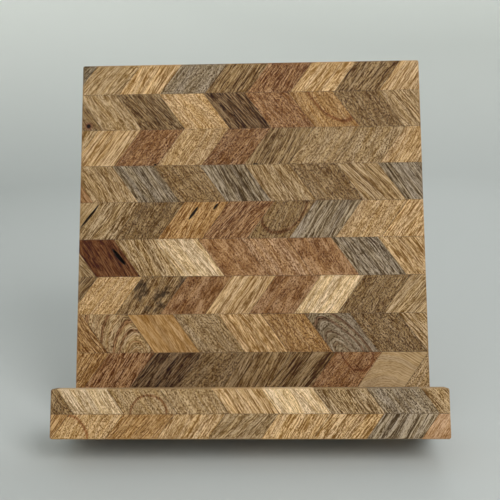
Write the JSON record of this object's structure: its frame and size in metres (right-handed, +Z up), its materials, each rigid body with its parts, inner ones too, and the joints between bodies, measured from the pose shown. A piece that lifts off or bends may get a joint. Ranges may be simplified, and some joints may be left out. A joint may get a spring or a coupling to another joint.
{
  "type": "book stand",
  "caption": "Leaning cookbook stand of chevron-laid mango wood blocks with a ledge, an upright lip and a folding prop leg on a brass butt hinge.",
  "frame": {"origin": "on the table under the middle of the whole stand, with the leg out", "axes": "+X to the reader's right, -Y towards the reader, +Z up"},
  "size_m": [0.305, 0.2228, 0.3063],
  "materials": {
    "mango_board": "oiled, open pored, every block of its own tone",
    "mango_lip": "oiled, open pored, every block of its own tone",
    "mango_ledge": "oiled, open pored, every block of its own tone",
    "mango_leg": "oiled plank with long grain",
    "beech_dowel": "raw turned dowel",
    "zinc_screw": "yellow zinc plated",
    "hinge_brass": "satin, slightly tarnished",
    "screw_brass": "turned brass"
  },
  "bodies": {
    "stand": {"course_1": "mango_board", "course_2": "mango_board", "course_3": "mango_board", "course_4": "mango_board", "course_5": "mango_board", "course_6": "mango_board", "course_7": "mango_board", "course_8": "mango_board", "course_9": "mango_board", "course_10": "mango_board", "ledge_course_1": "mango_ledge", "ledge_course_2": "mango_ledge", "lip_course_1": "mango_lip", "lip_course_2": "mango_lip", "lip_dowels": "beech_dowel", "ledge_screws": "zinc_screw", "hinge_board_leaf": "hinge_brass", "hinge_board_screws": "screw_brass", "hinge_pin": "hinge_brass"},
    "leg": {"prop_leg": "mango_leg", "hinge_leg_leaf": "hinge_brass", "hinge_leg_screws": "screw_brass"}
  },
  "joints": [
    {"name": "leg_fold", "type": "hinge", "parent": "stand", "child": "leg", "pos_m": [0, 0.04312, 0.19857], "axis": [-1, 0, 0], "range_deg": [0, 35]}
  ]
}
